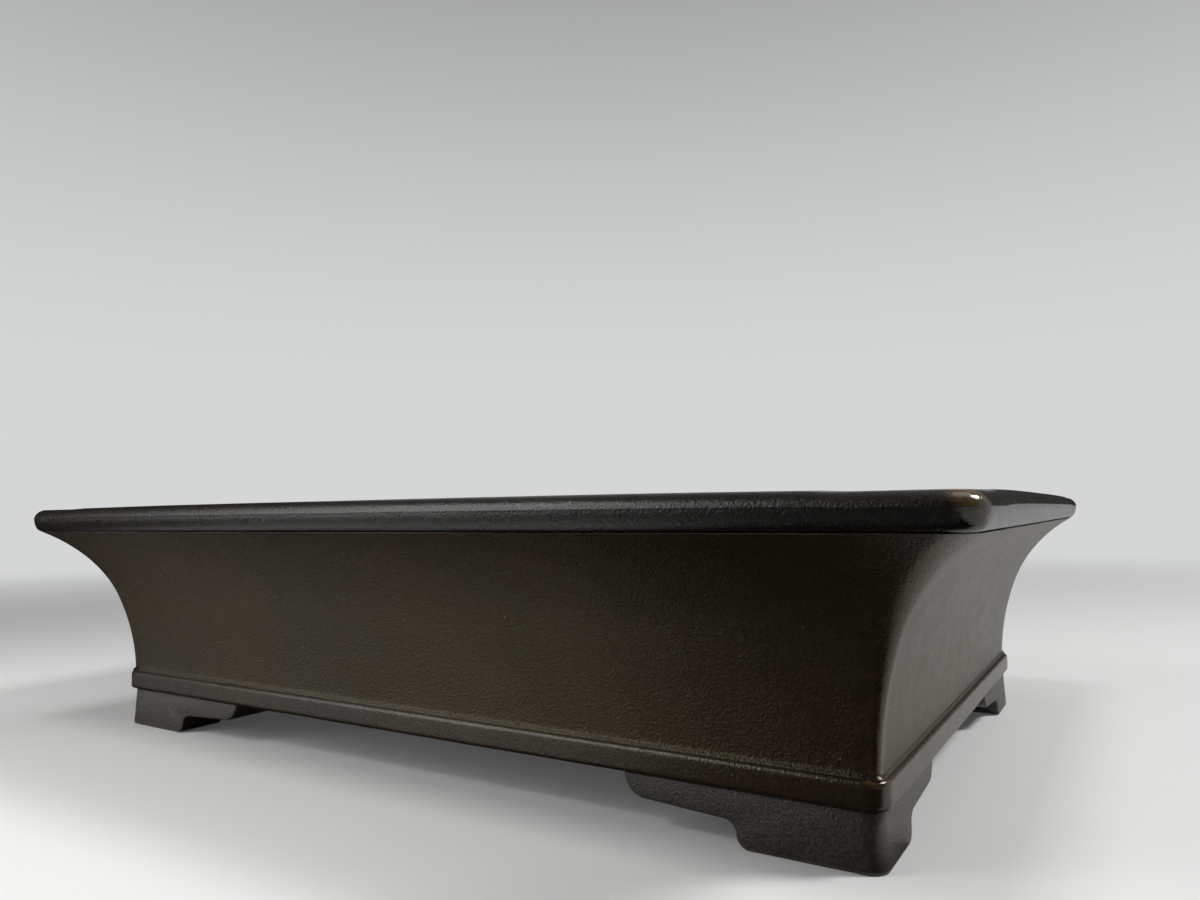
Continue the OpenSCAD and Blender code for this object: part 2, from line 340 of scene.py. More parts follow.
def stoneware(name, roughness, gloss, tint, coarse, bare, dark=0.0):
    """Unglazed fired clay.

    tint colours its sheen, coarse is how much grain it has, bare how much of it is raw clay, and
    dark how far it is fired towards black.
    """
    finish = bpy.context.scene.pot_finish
    material = bpy.data.materials.new(name)
    material.use_nodes = True
    r = Recipe(material.node_tree)
    place = r.node("ShaderNodeTexCoord").output("Object")
    x = r.node("ShaderNodeSeparateXYZ", None, {"Vector": place})
    y, z = x.output("Y"), x.output("Z")

    # Distance from the upright corner's diagonal, the same at every height
    lead = FLOOR_HIGH.x - FLOOR_HIGH.y
    from_corner = abs(abs(x) - abs(y) - lead)
    # Painted shade: a dark line along the seam above the band, where the wall meets it
    crease_shade = r.ease(abs(z - BAND_HIGH.z - CREASE_RISE), CREASE_CORE, CREASE_REACH, 1.0, 0.0)
    rim_side = r.ease(z, RIM_LOW.z - RIM_FADE_LOW, RIM_LOW.z + RIM_FADE_HIGH)
    sole = r.ease(z, SOLE_LOW, SOLE_HIGH, 1.0, 0.0)

    # The rubbed corners are those of the outer faces alone
    outside = abs(x) - rim_side * (RIM_HIGH.x - FLOOR_HIGH.x) - (FLOOR_HIGH.x - OUTSIDE_START)
    arris = r.ease(from_corner, RUBBED_CORE, RUBBED_REACH, 1.0, 0.0)
    arris = arris * r.ease(outside, -OUTSIDE_FADE, OUTSIDE_FADE)

    drift = r.noise(place, DRIFT_WIDTH, detail=2.0)
    patch = r.noise(place, PATCH_WIDTH, detail=4.0, rough=0.6)
    mottle = r.noise(place, MOTTLE_WIDTH, detail=4.0, rough=0.65)
    grain = r.noise(place, finish.grain, detail=2.0, rough=0.55)
    fine = r.noise(place, FINE_SHARE * finish.grain, detail=2.0)

    clay = paint(finish.clay_deep)
    for tone, shares, levels, amounts in TONES:
        cloud = drift * shares[0] + patch * shares[1] + mottle * shares[2]
        clay = r.mix(r.ease(cloud, *levels, *amounts), clay, paint(getattr(finish, tone)))
    clay = r.mix(bare * BARE_COVER, clay, paint(finish.clay_bare))
    clay = r.mix(dark, clay, paint(finish.pit))
    worn = r.ease(mottle * 0.6 + patch * 0.4, *WEAR_SPAN)
    rubbed = arris * worn * (rim_side * RIM_EXTRA_WEAR + WALL_WEAR)
    rubbed = rubbed + sole * r.ease(patch, *SOLE_SPAN) * SOLE_WEAR
    clay = r.mix(rubbed, clay, paint(finish.ochre))
    hollows = r.ease(grain, *GRAIN_DARK_SPAN, GRAIN_DARK * coarse, 0.0)
    # Grain hollows darken, and the seam above the band gets its painted shade
    clay = r.mix(hollows + crease_shade * CREASE_SHADE_COVER, clay, paint(finish.pit))
    crests = r.ease(grain, *GRAIN_LIGHT_SPAN, 0.0, GRAIN_LIGHT * (1.0 - dark))
    clay = r.mix(crests, clay, paint(finish.clay_bare))
    grit = r.specks(place, GRIT_SPACING, GRIT_WIDTH, GRIT_CHANCE)
    pits = r.specks(place, PIT_SPACING, PIT_WIDTH, PIT_CHANCE)
    clay = r.mix(grit * SPECK_COVER, clay, paint(finish.grit))
    clay = r.mix(pits * SPECK_COVER, clay, paint(finish.pit))

    uneven = (mottle - 0.5) + (grain - 0.5) + pits
    polish = arris * (rim_side * RIM_EXTRA_POLISH + WALL_POLISH)
    rough = roughness + uneven * (GRAIN_ROUGH * coarse) - polish
    swell = r.noise(place, SWELL_WIDTH, detail=2.0)
    skin = r.node("ShaderNodeBump", None, {
        "Strength": SWELL_STRENGTH, "Distance": SWELL_DEPTH, "Height": swell})
    relief = (grain + mottle * MOTTLE_HEIGHT + fine * FINE_HEIGHT) * (1.0 - arris * RUBBED_FLAT)
    relief = relief - pits * PIT_DEPTH + grit * GRIT_HEIGHT
    skin = r.node("ShaderNodeBump", None, {
        "Strength": 1.0, "Distance": finish.grain_depth * coarse, "Height": relief, "Normal": skin})
    shader = r.node("ShaderNodeBsdfPrincipled", None, {
        "Base Color": clay, "Roughness": rough, "Specular IOR Level": gloss,
        "Specular Tint": paint(tint), "Normal": skin})
    r.node("ShaderNodeOutputMaterial", None, {"Surface": shader})
    return material


class Flare:
    """The wall's face as two tangent arcs, in offsets from the foot of the wall and heights."""

    def __init__(self, form):
        self.form = form
        rise = RIM_LOW.z - BAND_HIGH.z
        foot, turn, lip = form.wall_lean, form.turn_lean, form.lip_lean
        self.low_r = form.turn_rise / (math.sin(turn) - math.sin(foot))
        self.top_r = (rise - form.turn_rise) / (math.sin(lip) - math.sin(turn))
        self.low_c = (self.low_r * math.cos(foot), BAND_HIGH.z - self.low_r * math.sin(foot))
        reach = self.low_r - self.top_r
        self.top_c = (self.low_c[0] - reach * math.cos(turn), self.low_c[1] + reach * math.sin(turn))

    def at(self, lean, depth=0.0):
        """Offset and height of the face where it leans that much, or of a skin that deep behind it."""
        centre, radius = (self.low_c, self.low_r) if lean < self.form.turn_lean else (self.top_c, self.top_r)
        radius += depth
        return centre[0] - radius * math.cos(lean), centre[1] + radius * math.sin(lean)

    def lean_at(self, height, depth=0.0):
        """Lean of the face, or of a skin behind it, at a height."""
        for centre, radius in ((self.low_c, self.low_r), (self.top_c, self.top_r)):
            lean = math.asin((height - centre[1]) / (radius + depth))
            if (lean < self.form.turn_lean) == (radius == self.low_r):
                return lean
        return self.form.turn_lean

    def run(self, start, end, steps, depth=0.0):
        """Points of a skin from one lean to another."""
        return [self.at(start + (end - start) * i / steps, depth) for i in range(steps + 1)]


def arc(centre, radius, start, end, steps):
    """Points of an arc in a section, angles in degrees from straight out, counted upwards."""
    turns = [math.radians(start + (end - start) * i / steps) for i in range(steps + 1)]
    return [(centre[0] + radius * math.cos(a), centre[1] + radius * math.sin(a)) for a in turns]


def choose(piece):
    """Selects just this piece and makes it the active one."""
    bpy.ops.object.select_all(action="DESELECT")
    piece.select_set(True)
    bpy.context.view_layer.objects.active = piece


def start_piece(name):
    """Adds a plane of its own to be shaped, and enters edit mode on it."""
    bpy.ops.object.select_all(action="DESELECT")
    bpy.ops.mesh.primitive_plane_add(size=1.0)
    piece = bpy.context.active_object
    piece.name = piece.data.name = name
    bpy.ops.object.mode_set(mode="EDIT")
    bpy.ops.mesh.select_mode(type="VERT")
    bpy.ops.mesh.select_all(action="SELECT")
    return piece


def pick(kind, test):
    """Selects just the vertices, edges or faces of the piece in edit mode that pass a test."""
    bpy.ops.mesh.select_mode(type=kind)
    bpy.ops.mesh.select_all(action="DESELECT")
    mesh = bpy.context.edit_object.data
    bm = bmesh.from_edit_mesh(mesh)
    for item in {"VERT": bm.verts, "EDGE": bm.edges, "FACE": bm.faces}[kind]:
        if test(item):
            item.select_set(True)
    bm.select_flush_mode()
    bmesh.update_edit_mesh(mesh)


def select_verts(mesh, first, last=None, test=None):
    """Selects the vertices of a span in their order of making, or of these just those that pass a test."""
    bm = bmesh.from_edit_mesh(mesh)
    bm.verts.ensure_lookup_table()
    for v in bm.verts[first:last]:
        v.select_set(test is None or test(v))
    bm.select_flush_mode()


def middle(edge):
    """The middle of an edge."""
    return (edge.verts[0].co + edge.verts[1].co) / 2


# Two lengths that differ by less than this are the same
ROUNDING = 1e-6

# Edges round a corner, and the length of an edge along a side
ARC_CUTS = 10
CELL = 6.2 * MM


def rounded_loop(half_x, half_y, height, radius):
    """Shapes the plane in edit mode into a loop of edges round a rectangle with round corners."""
    bpy.ops.transform.resize(value=(2 * half_x, 2 * half_y, 1), center_override=(0, 0, 0))
    bpy.ops.transform.translate(value=(0, 0, height))
    bpy.ops.mesh.bevel(offset=radius, segments=ARC_CUTS, affect="VERTICES", profile=0.5)
    bpy.ops.mesh.delete(type="ONLY_FACE")
    for axis, half in ((0, half_x), (1, half_y)):
        def is_side(edge):
            run = edge.verts[0].co - edge.verts[1].co
            return abs(run[axis]) > half
        pick("EDGE", is_side)
        bpy.ops.mesh.subdivide(number_cuts=round(2 * half / CELL) - 1)
    bpy.ops.mesh.select_mode(type="VERT")
    bpy.ops.mesh.select_all(action="SELECT")


def draw_round(name, foot, section):
    """Draws a section, given as (offset, height, corner radius), round the foot of the wall as a skin."""
    piece = start_piece(name)
    offset, height, radius = section[0]
    rounded_loop(foot[0] + offset, foot[1] + offset, height, radius)
    mesh = piece.data
    count = len(bmesh.from_edit_mesh(mesh).verts)
    for new_offset, new_height, new_radius in section[1:]:
        bpy.ops.mesh.extrude_edges_move(TRANSFORM_OT_translate={"value": (0, 0, new_height - height)})
        half = [side + new_offset for side in foot]
        grow = [new / (side + offset) for new, side in zip(half, foot)]
        bpy.ops.transform.resize(value=(*grow, 1), center_override=(0, 0, 0))
        for sx in (-1, 1):
            for sy in (-1, 1):
                corner = (sx * half[0], sy * half[1], new_height)
                inside = [h - radius * g - ROUNDING for h, g in zip(half, grow)]
                select_verts(mesh, -count, test=lambda v: sx * v.co.x > inside[0] and sy * v.co.y > inside[1])
                scale = [new_radius / (radius * g) for g in grow]
                bpy.ops.transform.resize(value=(*scale, 1), center_override=corner)
        select_verts(mesh, -count)
        offset, height, radius = new_offset, new_height, new_radius
    select_verts(mesh, 0, count)
    bpy.ops.mesh.bridge_edge_loops()
    bpy.ops.mesh.select_all(action="SELECT")
    bpy.ops.mesh.normals_make_consistent(inside=False)
    bpy.ops.object.mode_set(mode="OBJECT")
    return piece


def apply_modifier(piece, kind, **settings):
    """Adds a modifier to the piece with its settings and applies it."""
    modifier = piece.modifiers.new(kind.title(), kind)
    for name, value in settings.items():
        setattr(modifier, name, value)
    bpy.context.view_layer.objects.active = piece
    bpy.ops.object.modifier_apply(modifier=modifier.name)


# How deep each piece's dents are against the walls', and how wide
DENTS = {"pot_walls": (1.0, 60 * MM), "pot_rim": (0.4, 90 * MM), "base_band": (0.6, 30 * MM)}


def press(piece, unevenness):
    """Gives the slabs the slight unevenness of hand-pressed clay, never past their outline."""
    depth, width = DENTS[piece.name]
    clouds = bpy.data.textures.new(piece.name + "_pressing", "CLOUDS")
    clouds.noise_scale = width
    clouds.noise_depth = 2
    apply_modifier(piece, "DISPLACE", texture=clouds, texture_coords="LOCAL", strength=depth * unevenness,
                   mid_level=1.0)


# Faces that meet at less than this angle shade as one
SMOOTH_ANGLE = math.radians(35.0)


def dress(piece, clay, nodes):
    """Finishes a piece: smooth shading, its clay, and its place in the frame."""
    choose(piece)
    bpy.ops.object.shade_smooth_by_angle(angle=SMOOTH_ANGLE)
    material = bpy.data.materials.get(clay) or CLAYS[clay](bpy.context.scene.pot_finish)
    piece.data.materials.clear()
    piece.data.materials.append(material)
    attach(piece, BODY)
    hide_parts(*nodes)


CLAYS = {
    "wall_clay": lambda finish: stoneware(
        "wall_clay", finish.wall_rough, finish.wall_gloss, finish.wall_tint, coarse=1.0, bare=0.0),
    "band_clay": lambda finish: stoneware(
        "band_clay", finish.rim_rough, finish.wall_gloss, finish.band_tint, coarse=0.5, bare=0.0),
    "rim_clay": lambda finish: stoneware(
        "rim_clay", finish.rim_rough, finish.rim_gloss, finish.rim_tint, coarse=0.5, bare=0.0,
        dark=finish.rim_dark),
    "base_clay": lambda finish: stoneware(
        "base_clay", finish.base_rough, finish.wall_gloss, finish.rim_tint, coarse=0.85, bare=1.0),
}


def wall_foot(form):
    """Half the length and half the width of the pot at the foot of its walls."""
    return BAND_HIGH.x - form.band_proud, BAND_HIGH.y - form.band_proud


# Millimetres out and up: the slip in the seam above the band, and the wall's edge under the rim
SLIP_BEAD = ((0.95, -0.40), (0.95, 0.02), (0.86, 0.30), (0.68, 0.55),
             (0.44, 0.80), (0.25, 1.05), (0.14, 1.40), (0.10, 1.80))
LIP_ROUND = ((0.12, 0.08), (0.16, 0.14), (0.10, 0.24), (-0.6, 0.4))

# The wall's face is drawn from this far above the slip to this far below the rim
ABOVE_SLIP, BELOW_RIM = 0.5 * MM, 0.1 * MM

# The rim's face turns under by so many degrees, then round its lower edge and back to the wall
RIM_UNDERCUT = 24.8
RIM_LOW_ROUND = 3.4 * MM
RIM_LOW_END = -110
RIM_FLAT, RIM_TUCK = 1.6 * MM, 3 * MM
RIM_TABLE_CUTS = 5


class BONSAI_OT_walls(Operator):
    """Model the four flared walls, with their corner and floor seams smoothed in"""

    bl_idname = "bonsai.walls"
    bl_label = "Walls"

    def execute(self, context):
        form = context.scene.pot_form
        flare = Flare(form)
        base, lip = BAND_HIGH.z, RIM_LOW.z

        def cornered(points, low, high, bend=1.0):
            """Gives each point its corner radius, which goes from low at the band to high under the rim."""
            rises = [max(0.0, min(1.0, (z - base) / (lip - base))) for o, z in points]
            return [(o, z, low + (high - low) * rise ** bend) for (o, z), rise in zip(points, rises)]

        bead = [(out * MM, base + up * MM) for out, up in SLIP_BEAD]
        face = flare.run(flare.lean_at(bead[-1][1] + ABOVE_SLIP), form.turn_lean, steps=14)
        face += flare.run(form.turn_lean, flare.lean_at(lip - BELOW_RIM), steps=24)[1:]
        lip_edge = [(face[-1][0] + out * MM, face[-1][1] + up * MM) for out, up in LIP_ROUND]
        top_lean = flare.lean_at(lip, form.wall_t)
        low_lean = flare.lean_at(base + form.cove_r, form.wall_t)
        skin = flare.run(top_lean, form.turn_lean, steps=18, depth=form.wall_t)
        skin += flare.run(form.turn_lean, low_lean, steps=8, depth=form.wall_t)[1:]
        end = skin[-1]
        cove_c = (end[0] - form.cove_r * math.cos(low_lean), end[1] + form.cove_r * math.sin(low_lean))
        cove = arc(cove_c, cove_c[1] - base, -math.degrees(low_lean), -90, steps=10)[1:]
        section = cornered(bead + face + lip_edge, form.arris_foot, form.arris_lip, bend=1.5)
        tucked = [(skin[0][0] + HIDDEN, lip + HIDDEN)]
        section += cornered(tucked + skin + cove, form.inner_floor, form.inner_lip)
        section += [(cove[-1][0], base - HIDDEN, form.inner_floor)]
        walls = draw_round("pot_walls", wall_foot(form), section)
        press(walls, form.unevenness)
        dress(walls, "wall_clay",
              nodes_of("wall") + nodes_of("floor_seam") + nodes_of("corner_seam", CORNERS))
        return {"FINISHED"}


class BONSAI_OT_rim(Operator):
    """Model the rolled rim that crowns the walls"""

    bl_idname = "bonsai.rim"
    bl_label = "Rim"

    def execute(self, context):
        form = context.scene.pot_form
        flare = Flare(form)
        lip, top = RIM_LOW.z, RIM_HIGH.z
        foot = wall_foot(form)
        out = RIM_HIGH.x - foot[0]
        wall_in = flare.lean_at(lip, form.wall_t)
        inside = flare.at(wall_in, form.wall_t)[0]
        edge, roll, crown = form.rim_edge, form.rim_roll, form.rim_face_r
        cove_c = (inside - form.rim_cove, lip + form.rim_cove * math.tan(wall_in / 2))
        cove = arc(cove_c, form.rim_cove, -math.degrees(wall_in), 0, steps=8)
        inner_edge = arc((inside + edge, top - edge), edge, 180, 90, steps=8)
        crown_c = (out - crown, lip + form.rim_crown_h)
        outer_edge = arc((out - roll, top - roll), roll, 90, 5, steps=14)
        face = arc(crown_c, crown, 0, -RIM_UNDERCUT, steps=11)
        bend = math.radians(RIM_UNDERCUT)
        low_c = (face[-1][0] - RIM_LOW_ROUND * math.cos(bend), face[-1][1] + RIM_LOW_ROUND * math.sin(bend))
        under = arc(low_c, RIM_LOW_ROUND, -RIM_UNDERCUT, RIM_LOW_END, steps=6)[1:]
        under += [(under[-1][0] - RIM_FLAT, under[-1][1]), (under[-1][0] - RIM_TUCK, lip)]
        flat = out - inside - edge - roll
        table = [(inside + edge + flat * i / RIM_TABLE_CUTS, top) for i in range(1, RIM_TABLE_CUTS)]
        start = [(cove[0][0] + HIDDEN, cove[0][1] - 0.2 * HIDDEN)]

        def corner(o):
            if o >= out - roll:
                return form.rim_corner - (out - o)
            return form.inner_lip + (form.rim_corner - roll - form.inner_lip) * max(
                0.0, (o - inside) / (out - roll - inside))

        profile = start + cove + inner_edge + table + outer_edge + face + under
        section = [(o, z, corner(o)) for o, z in profile]
        rim = draw_round("pot_rim", foot, section)
        settle(rim, lip, top, form.rim_sag)
        press(rim, form.unevenness)
        dress(rim, "rim_clay", nodes_of("rim"))
        return {"FINISHED"}


# Points this near to an outer edge belong to that side of the rim
RIM_REACH = 40 * MM


def settle(rim, lip, top, sag):
    """Lets the rim's top sink towards the corners, as it does in the kiln."""
    for v in rim.data.vertices:
        lift = max(0.0, (v.co.z - lip) / (top - lip))
        along = max(abs(v.co.x) / RIM_HIGH.x if abs(v.co.y) > RIM_HIGH.y - RIM_REACH else 0.0,
                    abs(v.co.y) / RIM_HIGH.y if abs(v.co.x) > RIM_HIGH.x - RIM_REACH else 0.0)
        v.co.z -= sag * lift * along ** 3


# The band's hidden inner corners are at least this round
LEAST_CORNER = 1 * MM


class BONSAI_OT_band(Operator):
    """Model the band round the base"""

    bl_idname = "bonsai.band"
    bl_label = "Base Band"

    def execute(self, context):
        form = context.scene.pot_form
        foot = wall_foot(form)
        low, high, out, edge = BAND_LOW.z, BAND_HIGH.z, form.band_proud, form.band_edge
        back = FLOOR_HIGH.x - foot[0]
        face = arc((out - edge, low + edge), edge, -90, 0, steps=7)
        face += [(out, low + (high - low) * part) for part in (0.3, 0.4, 0.5, 0.6, 0.7)]
        face += arc((out - edge, high - edge), edge, 0, 90, steps=7)
        section = [(back, high), (back, low)] + [(back * 0.5, low)] + face + [(back * 0.5, high)]
        section = [(o, z, max(form.band_corner - (out - o), LEAST_CORNER)) for o, z in section]
        band = draw_round("base_band", foot, section)
        press(band, form.unevenness)
        dress(band, "band_clay", nodes_of("band"))
        return {"FINISHED"}


# The floor's underside is drawn this much higher, clear of the tops of the feet
FLOOR_LIFT = 0.2 * MM
DRAIN_SIDES, WIRE_SIDES = 64, 24

# An edge this near to a hole's circle is the hole's
HOLE_REACH = 0.1 * MM


class BONSAI_OT_floor(Operator):
    """Model the floor slab with its drain and tie-wire holes"""

    bl_idname = "bonsai.floor_slab"
    bl_label = "Floor"

    def execute(self, context):
        form = context.scene.pot_form
        floor = start_piece("pot_floor")
        low, high = FLOOR_LOW.z + FLOOR_LIFT, FLOOR_HIGH.z
        bpy.ops.transform.resize(value=(2 * FLOOR_HIGH.x, 2 * FLOOR_HIGH.y, 1), center_override=(0, 0, 0))
        bpy.ops.transform.translate(value=(0, 0, low))
        bpy.ops.mesh.extrude_region_move(TRANSFORM_OT_translate={"value": (0, 0, high - low)})
        bpy.ops.mesh.select_all(action="SELECT")
        bpy.ops.mesh.normals_make_consistent(inside=False)
        bpy.ops.object.mode_set(mode="OBJECT")
        holes = []
        for name in ("drain_left", "drain_right"):
            drain = MOUNTS[name]
            holes.append((drain["pos_m"][0], drain["pos_m"][1], drain["dims"]["r_mm"] * MM, DRAIN_SIDES))
        wires = MOUNTS["tie_wire_holes"]["dims"]
        for sx in (-0.5, 0.5):
            for sy in (-0.5, 0.5):
                holes.append((sx * wires["spacing_x_mm"] * MM, sy * wires["spacing_y_mm"] * MM,
                              wires["hole_r_mm"] * MM, WIRE_SIDES))
        for x, y, radius, sides in holes:
            bpy.ops.object.select_all(action="DESELECT")
            bpy.ops.mesh.primitive_cylinder_add(vertices=sides, radius=radius, depth=4 * (high - low),
                                                location=(x, y, high))
            cutter = bpy.context.active_object
            apply_modifier(floor, "BOOLEAN", object=cutter, operation="DIFFERENCE", solver="EXACT")
            bpy.data.objects.remove(cutter)
        choose(floor)
        bpy.ops.object.mode_set(mode="EDIT")

        def is_hole_edge(edge):
            at = middle(edge)
            level = abs(edge.verts[0].co.z - edge.verts[1].co.z) < ROUNDING
            return level and any(abs(math.hypot(at.x - x, at.y - y) - radius) < HOLE_REACH
                                 for x, y, radius, sides in holes)
        pick("EDGE", is_hole_edge)
        bpy.ops.mesh.bevel(offset=form.hole_edge, segments=4, profile=0.5)
        bpy.ops.object.mode_set(mode="OBJECT")
        apply_modifier(floor, "WEIGHTED_NORMAL", keep_sharp=True)
        dress(floor, "base_clay", ["floor_slab"])
        return {"FINISHED"}


def leg_outline(form, leg, post, height):
    """Outline of a foot's leg: distance from the outer corner, and height."""
    toe, arch = form.toe_r, form.arch_r
    tip_z = toe + arch + form.wing_rise
    tip = height - tip_z
    outline = [(0.0, 0.0)]
    outline += arc((post, toe), toe, -90, 0, steps=8)
    outline += arc((post + toe + arch, toe), arch, 180, 90, steps=8)[1:]
    outline += arc((leg - tip, height), tip, -90, 0, steps=12)
    outline += [(0.0, height)]
    return outline


def draw_leg(name, outline, place, thickness):
    """Draws a leg's outline point by point, closes it and thickens it. place turns a point into the frame."""
    leg = start_piece(name)
    bpy.ops.mesh.merge(type="CENTER")
    points = [Vector(place(u, z)) for u, z in outline]
    bpy.ops.transform.translate(value=points[0])
    for before, after in zip(points, points[1:]):
        bpy.ops.mesh.extrude_vertices_move(TRANSFORM_OT_translate={"value": after - before})
    bpy.ops.mesh.select_all(action="SELECT")
    bpy.ops.mesh.edge_face_add()
    bpy.ops.mesh.extrude_region_move(TRANSFORM_OT_translate={"value": thickness})
    bpy.ops.mesh.select_all(action="SELECT")
    bpy.ops.mesh.normals_make_consistent(inside=False)
    bpy.ops.object.mode_set(mode="OBJECT")
    return leg


# The share of a foot's height that keeps its place when the foot is splayed
SPLAY_PIVOT = 0.6
FLIPS = {"back_left": (-1, 1, 1), "front_right": (1, -1, 1), "front_left": (-1, -1, 1)}


class BONSAI_OT_feet(Operator):
    """Model one cloud foot and set its mirrored copies under the corners"""

    bl_idname = "bonsai.feet"
    bl_label = "Feet"

    def execute(self, context):
        form = context.scene.pot_form
        far, top = FOOT_HIGH, FOOT_HIGH.z
        leg_x, leg_y = far.x - FOOT_LOW.x, far.y - FOOT_LOW.y
        foot = draw_leg("foot_back_right", leg_outline(form, leg_x, form.foot_post_x, top),
                        lambda u, z: (far.x - u, far.y, z), (0, -form.foot_t, 0))
        side = draw_leg("short_leg", leg_outline(form, leg_y, form.foot_post_y, top),
                        lambda u, z: (far.x, far.y - u, z), (-form.foot_t, 0, 0))
        apply_modifier(foot, "BOOLEAN", object=side, operation="UNION", solver="EXACT")
        bpy.data.objects.remove(side)
        choose(foot)
        bpy.ops.object.mode_set(mode="EDIT")
        pick("EDGE", lambda edge: all((v.co.xy - far.xy).length < 10 * ROUNDING for v in edge.verts))
        bpy.ops.mesh.bevel(offset=form.foot_corner, segments=10, profile=0.5)
        bpy.ops.object.mode_set(mode="OBJECT")
        apply_modifier(foot, "BEVEL", width=form.foot_edge, segments=3, limit_method="ANGLE",
                       angle_limit=math.radians(40))
        for v in foot.data.vertices:
            out = form.foot_splay * (SPLAY_PIVOT - v.co.z / top)
            v.co.x += out
            v.co.y += out
        apply_modifier(foot, "WEIGHTED_NORMAL", keep_sharp=True)
        feet = {"back_right": foot}
        for corner, flip in FLIPS.items():
            choose(foot)
            bpy.ops.object.duplicate()
            copy = bpy.context.active_object
            copy.name = copy.data.name = "foot_" + corner + "_clay"
            copy.data.transform(Matrix.Diagonal((*flip, 1)))
            if flip[0] * flip[1] < 0:
                copy.data.flip_normals()
            feet[corner] = copy
        foot.name = foot.data.name = "foot_back_right_clay"
        for corner, piece in feet.items():
            dress(piece, "base_clay", ["foot_" + corner])
        return {"FINISHED"}


def lamp(name, place, aim, size, watts):
    """Adds a soft rectangular lamp that the camera doesn't see."""
    data = bpy.data.lights.new(name, "AREA")
    data.shape = "RECTANGLE"
    data.size, data.size_y = size
    data.energy = watts
    light = bpy.data.objects.new(name, data)
    light.location = place
    light.rotation_euler = (Vector(aim) - Vector(place)).to_track_quat("-Z", "Y").to_euler()
    light.visible_camera = False
    bpy.context.scene.collection.objects.link(light)
    return light


# Each lamp's name, place, aim and size; its power is the stage's property of the same name
POT_MIDDLE = (0.0, 0.0, 0.06)
LAMPS = (
    ("key", (1.15, 0.45, 1.25), POT_MIDDLE, (0.35, 0.35)),
    ("fill", (-0.40, -0.61, 0.40), (0.15, -0.15, 0.3), (0.42, 0.72)),
    ("front", (-0.65, -0.98, 1.08), POT_MIDDLE, (0.12, 0.12)),
    ("top", (0.6, 0.3, 1.8), POT_MIDDLE, (1.0, 1.0)),
    ("near", (0.12, -0.50, 1.5), (0.12, -0.28, 0.0), (0.4, 0.4)),
)
NEAR_SPREAD = math.radians(60)

# Each black card's name, place, size, turn in degrees, and the rays that meet it
SHEEN = ("glossy",)
RAYS = ("camera", "diffuse", "glossy", "transmission", "volume_scatter", "shadow")
BLACK = (0.01, 0.01, 0.01, 1.0)
FLAGS = (
    ("front_flag", (-0.1, -1.2, 0.8), (3.2, 1.6), (90, 0, 0), ("glossy", "diffuse")),
    ("left_flag", (-1.6, -0.1, 0.8), (2.2, 1.6), (90, 0, 90), SHEEN),
    ("right_flag", (1.4, -0.55, 0.8), (1.3, 1.6), (90, 0, 90), SHEEN),
    ("back_flag", (0.75, 2.6, 0.75), (1.6, 1.3), (90, 0, 0), SHEEN),
    ("near_floor_flag", (0.21, -0.22, 0.001), (0.26, 0.16), (0, 0, 0), SHEEN),
    ("far_floor_flag", (0.01, -0.62, 0.001), (0.78, 0.60), (0, 0, 0), SHEEN),
    ("left_floor_flag", (-0.93, -0.35, 0.001), (1.24, 1.3), (0, 0, 0), SHEEN),
    # Painted shadow on the floor under the rim's overhang, met only in the clay's sheen
    ("under_floor_flag", (-0.05, -0.13, 0.001), (0.5, 0.06), (0, 0, 0), SHEEN),
    ("shade_flag", (0.0975, -0.554, 0.26), (0.5, 0.5), (90, 0, -48.4), ("shadow",)),
)


def flag(name, place, size, turn, rays):
    """Sets up a black card that only some rays meet, like the dark side of a room in the clay's sheen."""
    bpy.ops.object.select_all(action="DESELECT")
    bpy.ops.mesh.primitive_plane_add(size=1.0, location=place, rotation=[math.radians(side) for side in turn])
    card = bpy.context.active_object
    card.name = card.data.name = name
    card.scale = (*size, 1.0)
    black = bpy.data.materials.new(name)
    black.use_nodes = True
    r = Recipe(black.node_tree)
    r.node("ShaderNodeOutputMaterial", None, {
        "Surface": r.node("ShaderNodeBsdfDiffuse", None, {"Color": BLACK})})
    card.data.materials.append(black)
    for kind in RAYS:
        setattr(card, "visible_" + kind, kind in rays)


def seen_rays(recipe):
    """One for what the camera sees, straight or in gloss and glass, and nothing for the light on the pot."""
    path = recipe.node("ShaderNodeLightPath")
    kinds = [path.output(kind) for kind in ("Is Camera Ray", "Is Glossy Ray", "Is Transmission Ray")]
    return kinds[0].math("MAXIMUM", kinds[0], kinds[1].math("MAXIMUM", kinds[1], kinds[2]))


# The floor goes over into the backdrop from the first to the second of these distances
FLOOR_SIZE = 60.0
FADE_FROM, FADE_TO = 0.4, 1.8
LEAST_FADE = 0.08

# The backdrop is plain up to this height of the view's direction
PLAIN_HEIGHT = 0.1
WHITE = (1.0, 1.0, 1.0, 1.0)
SENSOR_WIDTH = 36.0


